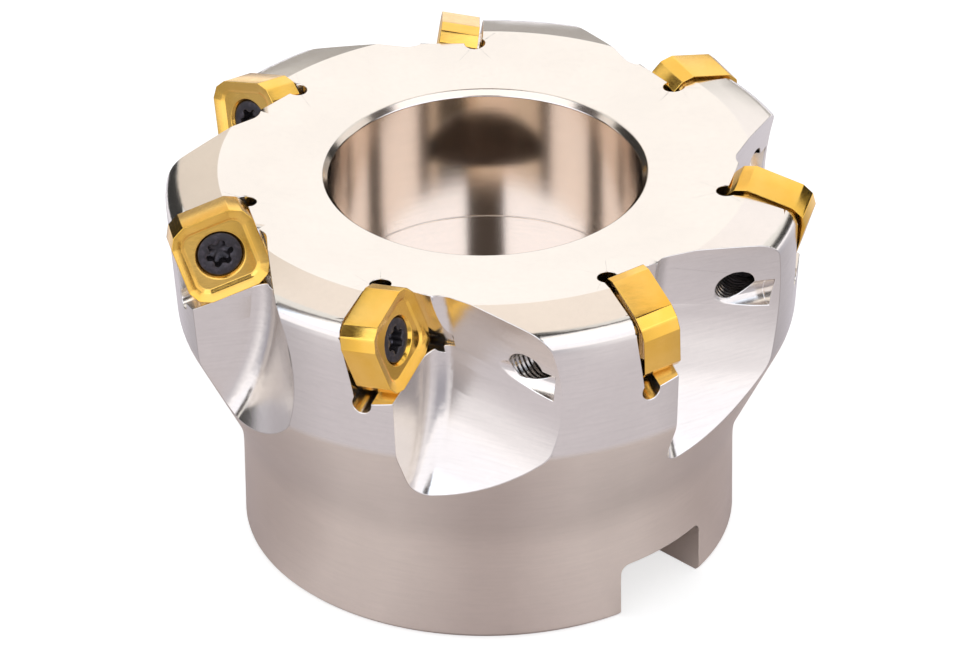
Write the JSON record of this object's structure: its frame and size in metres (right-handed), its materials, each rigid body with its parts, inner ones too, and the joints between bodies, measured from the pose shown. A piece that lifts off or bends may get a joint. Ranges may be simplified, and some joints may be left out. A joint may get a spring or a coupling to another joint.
{
  "type": "high feed milling cutter",
  "caption": "Arbor-mounted high feed face mill: a plated steel body with chip gullets, a central counterbore and a ring of screwed-on square cutting inserts.",
  "frame": {"origin": "centre of the hub face, on the spin axis", "axes": "+Z along the spin axis, from the hub face towards the cutting face. Seen from +Z the cutter turns anticlockwise."},
  "size_m": [0.0783, 0.0774, 0.05],
  "materials": {
    "nickel_plated_steel": "satin nickel plating on hardened steel",
    "coated_carbide": "gold coloured hard coating on ground carbide",
    "black_screw_steel": "black oxide, slightly oiled"
  },
  "bodies": {
    "root": {"cutter_body": "nickel_plated_steel", "insert_1": "coated_carbide", "insert_2": "coated_carbide", "insert_3": "coated_carbide", "insert_4": "coated_carbide", "insert_5": "coated_carbide", "insert_6": "coated_carbide", "insert_7": "coated_carbide", "insert_screw_1": "black_screw_steel", "insert_screw_2": "black_screw_steel", "insert_screw_3": "black_screw_steel", "insert_screw_4": "black_screw_steel", "insert_screw_5": "black_screw_steel", "insert_screw_6": "black_screw_steel", "insert_screw_7": "black_screw_steel"}
  },
  "joints": []
}
